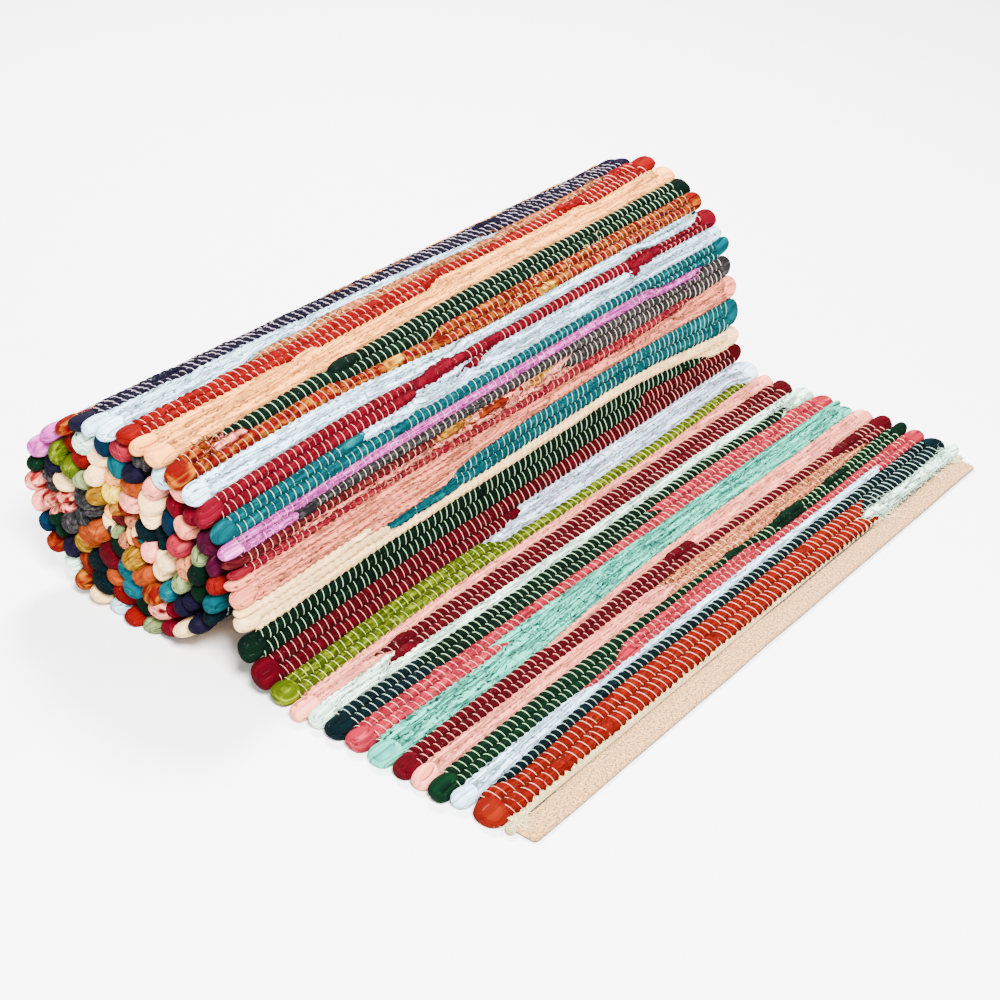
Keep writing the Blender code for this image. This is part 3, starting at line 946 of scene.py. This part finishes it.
def cotton_group():
    """Spun cotton thread and plain weave: colour, roughness and normal. Weave mixes from a single
    thread's twist at 0 to plain woven cloth at 1."""
    straw = (0.8, 0.7, 0.6, 1)
    board, given, result = new_group(
        "spun_cotton",
        {"Base": straw, "Fleck": straw, "Weave": 0.0, "Pitch": 0.0012, "Depth": 0.0003},
        {"Color": "Color", "Roughness": "Float", "Normal": "Vector"},
    )
    at = board.strip_place()
    turn = board.maths("DIVIDE", math.pi, given["Pitch"])
    uneven = board.times(board.grain(170, 170), given["Pitch"])
    slant = board.plus(at[0], at[1], uneven)
    other = board.minus(at[0], at[1], uneven)
    waves = [board.maths("SINE", board.times(way, turn)) for way in (slant, other)]
    checks = board.maths("ABSOLUTE", board.times(*waves))
    threads = board.times(board.plus(board.grain(120, 1500), board.grain(1500, 120)), 0.5)
    fuzz = board.grain(2400, 2400, 1)
    woven = board.plus(board.times(checks, 0.9), threads)
    twist = board.maths("SINE", board.times(slant, 5200))
    plain = board.minus(1, given["Weave"])
    height = board.plus(
        board.times(woven, given["Weave"]), board.times(twist, 0.35, plain), board.times(fuzz, 0.35)
    )
    shade = board.times(
        board.spread(board.attribute("tone"), 0, 1, 0.9, 1.06),
        board.spread(threads, 0.34, 0.60, 0.74, 1.08),
        board.plus(board.times(board.spread(checks, 0, 0.40, 0.80, 1), given["Weave"]), plain),
        # Painted shade on the hem band's edge wall and under its fold, where side is set
        board.spread(board.attribute("side"), 0, 1, 1, 0.16),
    )
    flecks = board.spread(board.grain(520, 640, 4, 0.7), 0.40, 0.62)
    colour = board.mix(flecks, given["Base"], given["Fleck"])
    # The warp's painted tint: the colour that the cloth under it reflects onto it, with painted shade over
    # dark cloth
    colour = board.mix(1, colour, board.attribute("dye", "Vector"), "MULTIPLY")
    board.feed(result, {
        "Color": board.darken(colour, shade),
        "Roughness": board.spread(fuzz, 0.3, 0.7, 0.85, 0.97),
        "Normal": board.bump(height, given["Depth"]),
    })
    return board.tree


RAG_COLOUR = rag_colour_group()
RAG_RELIEF = rag_relief_group()
SPUN_COTTON = cotton_group()


def new_material(name, groups=(), **constants):
    """A material: its shader has these constants, and takes what these node groups give. Each group
    is its tree and what its inputs are set to."""
    material = bpy.data.materials.new(name)
    material.use_nodes = True
    board = Board(material.node_tree)
    sockets = material.node_tree.nodes["Principled BSDF"].inputs
    board.feed(sockets, {label.replace("_", " "): value for label, value in constants.items()})
    for tree, values in groups:
        for output in board.add("Group", values, node_tree=tree).outputs:
            board.feed(sockets, {output.name.replace("Color", "Base Color"): output})
    return material, board, sockets


def rag_material(kind):
    look = CLOTHS[kind]
    colour = {
        "Base": screen(look["colour"]), "Second": screen(look["second"]), "Share": look["share"],
        "Patch": 1000 / look["patch"], "Shade": 0.22 + 0.5 * look["crease"], "Crevice_Shade": 0.6 + look["plump"],
    }
    groups = (RAG_COLOUR, colour), (RAG_RELIEF, {"Crease": look["crease"], "Depth": RAG_DEPTH})
    return new_material("rag_" + kind, groups, Specular_IOR_Level=0.03)[0]


def cotton_material(name, colour, weave=0.0, pitch=0.0012, depth=0.0003, fleck=None):
    values = {"Base": screen(colour), "Fleck": screen(fleck or colour), "Weave": weave}
    values.update(Pitch=pitch, Depth=depth)
    return new_material(name, [(SPUN_COTTON, values)], Sheen_Weight=0.2, Specular_IOR_Level=0.25)[0]


# ---------------- the rug


def lay_rows(rags, knobs, loops):
    """All the rows that show, their loops and their knobs."""
    rows = all_rows()
    borders = row_borders(rows)
    labels = [row[0] for row in rows]

    def spot(name, share):
        """The middle of a row at a share of the width: its distance and its place across."""
        row, at = labels.index(name), np.argmin(np.abs(RUNGS - across_rug(share)))
        return (borders[row][at] + borders[row + 1][at]) / 2, across_rug(share)

    lumps = [
        (kind, *spot(name, share), long * MM, wide * MM, high * MM)
        for kind, name, share, long, wide, high in LUMPS
    ]
    for row, (label, _, strips) in enumerate(rows):
        where = (row, borders[row], borders[row + 1], label[0] != "b")
        for strip in strips:
            lay_strip(rags[strip[0]], *where, *strip)
        if row % ROWS_A_PIECE == 0:
            loops.append(Pile())
        lay_loops(loops[-1], *where, strips, lumps)
    for side in (-1, 1):
        for kind, low, high in runs_at_edge(rows, borders, side):
            reach = KNOB_REACH + draw.uniform(-0.0025, 0.0025)
            knob(knobs[kind], low, high, side, reach, draw.uniform(0.0124, 0.0150))
    for kind, name, share, many, length, spread in TUFTS:
        lay_threads(rags[kind], *spot(name, share), length * MM, spread * MM, int(many))
    for kind, *lump in lumps:
        lay_lump(knobs[kind], *lump)


def lay_inner_turns(rags, knobs):
    """Inside the roll only the ends of the rows show, so each pair is one plain strip and its knobs."""
    y = np.linspace(-ROW_REACH, ROW_REACH, 8)
    section = np.radians(np.arange(0, 360, 45))
    for k, near in enumerate(INNER_KNOBS):
        low = OUTER_END + k * KNOB_PITCH
        far = CLOTH_NAMES[draw.integers(len(CLOTH_NAMES))]
        for kind, ends in ((near, slice(0, 5)), (far, slice(4, 8))):
            distance = low + KNOB_PITCH / 2 + 0.54 * KNOB_PITCH * np.cos(section)
            rags[kind].add(cloth.place(distance, y[ends, None], 0.0046 * np.sin(section))[None], 0.3)
        for kind, side in ((near, -1), (far, 1)):
            reach = INNER_REACH + draw.uniform(-0.0035, 0.0035)
            thick = draw.uniform(0.0145, 0.0198)
            shift, grow = draw.uniform(-0.0018, 0.0018), draw.uniform(-0.0010, 0.0034)
            start, end = low + shift - grow, low + shift + KNOB_PITCH + grow
            if draw.random() < SPLIT_KNOBS:
                waist = start + (end - start) * draw.uniform(0.40, 0.60)
                halves = ((start, waist + 0.0012, 0, 0.9), (waist - 0.0012, end, 0.002, 0.8))
                for first, last, less, share in halves:
                    lift = draw.normal(0, 0.0012)
                    knob(knobs[kind], first, last, side, reach - less, thick * share, lift=lift)
            else:
                knob(knobs[kind], start, end, side, reach, thick, draw.normal(0, 0.40))
    for k, (kind, start, height) in enumerate(CORE_RAGS):
        for side in (-1, 1):
            knob(knobs[kind], start, start + 0.017, side, CORE_REACH, 0.0135, 0.3 * k, height)


def make_ground():
    """The warp itself, as one thin sheet in the middle of the cloth from hem to core."""
    distance = np.concatenate([
        np.linspace(0.019, 0.35, 50), np.linspace(0.36, OUTER_END, 80), np.linspace(0.868, 2.118, 340)
    ])
    y = np.linspace(-HEM_WIDTH / 2 + 0.010, HEM_WIDTH / 2 - 0.010, 13)
    pile = Pile()
    pile.add(cloth.place(distance[:, None], y, 0.0)[None], RUG_LENGTH, 0.59, [0.5], closed=False)
    return pile.piece("warp_ground", cotton_material("ground_cotton", (214, 196, 172), 1.0, 0.002))


def make_band():
    """The plain woven band at the free end, folded under along its stitched side."""
    end = HEM_WIDTH / 2 - np.array((0.0, 0.0004, 0.0012, 0.0024, 0.0040))
    y = np.concatenate([-end, np.linspace(-end[-1] + 0.0025, end[-1] - 0.0025, 232), end[::-1]])[:, None]
    slow = np.interp(y, np.linspace(-0.3, 0.3, 14), draw.normal(0, 0.00045, 14))
    near_end = np.clip((np.abs(y) - end[-1]) / 0.0040, 0, 1)
    corner = 0.0036 * (1 - np.sqrt(1 - near_end**2))
    share, height, around, groove = BAND_PROFILE
    distance = share * (np.interp(y, *FOLD_LINE) + 0.3 * slow) + 0.6 * slow + (1 - share) * corner
    height = height * MM + np.where(height > -3, 1, 0) * slow * 0.8
    height = BAND_REST + (height - BAND_REST) * (1 - 0.9 * near_end**2)
    weave = join(*np.broadcast_arrays(y + 0.3, around))
    band = Pile()
    band.add(cloth.place(distance, y, height)[None], tone=[0.5], strip=weave[None], side=groove)
    cotton = cotton_material("hem_cotton", HEM_COLOUR, 1.0, HEM_PITCH, HEM_DEPTH, HEM_FLECK)
    return band.piece("hem_band", cotton)


def make_header():
    """The raised cords of header beside the fold, and the knobs at their ends."""
    header = Pile()
    section = np.radians((-60, -10, 35, 70, 110, 145, 190, 240))
    y = np.linspace(-HEM_WIDTH / 2 + 0.001, HEM_WIDTH / 2 - 0.001, 300)[:, None]
    room = np.interp(y, (-0.3, -0.05, 0.05, 0.3), (1.0, 0.95, 0.8, 0.5))
    for lane, (start, wide, top) in enumerate(HEADER_CORDS):
        lump = np.convolve(draw.standard_normal(308), np.ones(9) / 3, mode="valid")[:, None]
        wave = 0.00050 * lump + 0.00045 * np.sin(y / 0.0042 * math.pi + lane * math.pi)
        middle = np.interp(y, *FOLD_LINE) + (start + wide / 2) * room
        distance = middle + (wide / 2 * 1.2 * room + wave) * np.cos(section)
        height = -0.0024 + top + (0.0026 + wave) * np.sin(section)
        header.add(cloth.place(distance, y, height)[None], HEM_WIDTH, 0.012)
    knob(header, 0.0170, 0.0255, -1, 0.3035, 0.0062, lift=-0.0014)
    knob(header, 0.0125, 0.0195, 1, 0.3010, 0.0054, lift=-0.0016)
    cotton = cotton_material("header_cotton", HEADER_COLOUR, 0.7, HEM_PITCH, HEM_DEPTH, HEADER_FLECK)
    return header.piece("hem_header", cotton)


def make_stitches():
    """The stitches that hold the fold down."""
    where = np.arange(-0.292, 0.292, STITCH_STEP)[:, None, None]
    steps = np.linspace(-1, 1, 5)[:, None]
    line_d = np.interp(where, *FOLD_LINE) * 0.965 + draw.normal(0, 0.00015, where.shape)
    grid_d = line_d + STITCH_RADIUS * np.cos(THREAD_SECTION)
    grid_h = -0.0011 + 0.0008 * (1 - steps**2) + STITCH_RADIUS * np.sin(THREAD_SECTION)
    stitches = Pile()
    stitches.add(cloth.place(grid_d, where + 0.0016 * steps, grid_h), 0.004, 0.002)
    return stitches.piece("hem_stitches", cotton_material("seam_cotton", (92, 96, 74)), columns=12)


def make_rug():
    rags, knobs, loops = defaultdict(Pile), defaultdict(Pile), []
    lay_rows(rags, knobs, loops)
    lay_inner_turns(rags, knobs)
    pieces = [make_band(), make_header(), make_stitches()]
    loose = Pile()
    for place in LOOSE_THREADS:
        lay_threads(loose, *place)
    pieces.append(loose.piece("hem_thread", cotton_material("thread_cotton", (238, 230, 208)), columns=12))
    materials = {kind: rag_material(kind) for kind in sorted({*rags, *knobs})}
    for label, piles, columns in (("rows_", rags, 1), ("knobs_", knobs, 3)):
        for kind in sorted(piles):
            pieces.append(piles[kind].piece(label + kind, materials[kind], columns))
    warp = cotton_material("warp_cotton", (252, 240, 222), 0.0, 0.001, 0.0002)
    for k, pile in enumerate(loops):
        pieces.append(pile.piece(f"warp_loops_{k + 1}", warp, columns=48))
    ground = make_ground()
    for piece in [ground, *pieces]:
        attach(piece, "root")
    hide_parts("rug")


# ---------------- floor, light and camera


def make_floor():
    """A plain white sweep: a wide floor and a soft white surround."""
    mesh = bpy.data.meshes.new("floor")
    corners = [(x * FLOOR_HALF, y * FLOOR_HALF, 0) for x, y in ((-1, -1), (1, -1), (1, 1), (-1, 1))]
    mesh.from_pydata(corners, [], [(0, 1, 2, 3)])
    material, board, sockets = new_material("white_floor", Roughness=0.9)
    grain = board.noise(board.add("TexCoord").outputs["Object"], 40, 3)
    board.feed(sockets, {"Base Color": board.mix(grain, (0.86, 0.86, 0.86, 1), (0.90, 0.90, 0.90, 1))})
    mesh.materials.append(material)
    floor = show("floor", mesh)
    world = bpy.data.worlds.new("white_surround")
    world.use_nodes = True
    background = world.node_tree.nodes["Background"]
    background.inputs["Color"].default_value = (1, 1, 1, 1)
    background.inputs["Strength"].default_value = SURROUND_LEVEL
    bpy.context.scene.world = world


def make_light(name, place, size, power):
    light = bpy.data.lights.new(name, "AREA")
    light.shape = "DISK"
    light.size = size
    light.energy = power
    obj = show(name, light)
    obj.location = place
    obj.rotation_euler = (Vector((0, 0, 0.05)) - Vector(place)).to_track_quat("-Z", "Y").to_euler()


def make_camera():
    azimuth, elevation, roll = (math.radians(CAMERA[name]) for name in ("azimuth", "elevation", "roll"))
    back = Vector((
        math.sin(azimuth) * math.cos(elevation), -math.cos(azimuth) * math.cos(elevation), math.sin(elevation)
    ))
    right = Vector((math.cos(azimuth), math.sin(azimuth), 0))
    up = back.cross(right)
    turned_right = right * math.cos(roll) + up * math.sin(roll)
    turned_up = up * math.cos(roll) - right * math.sin(roll)
    camera = bpy.data.cameras.new("camera")
    camera.sensor_width = CAMERA["sensor"]
    camera.lens = CAMERA["lens"]
    obj = show("camera", camera)
    turn = Matrix((turned_right, turned_up, back)).transposed().to_4x4()
    obj.matrix_world = Matrix.Translation(Vector(CAMERA["focus"]) + CAMERA["distance"] * back) @ turn
    bpy.context.scene.camera = obj


make_floor()
make_rug()
for lamp in LIGHTS:
    make_light(*lamp)
make_camera()
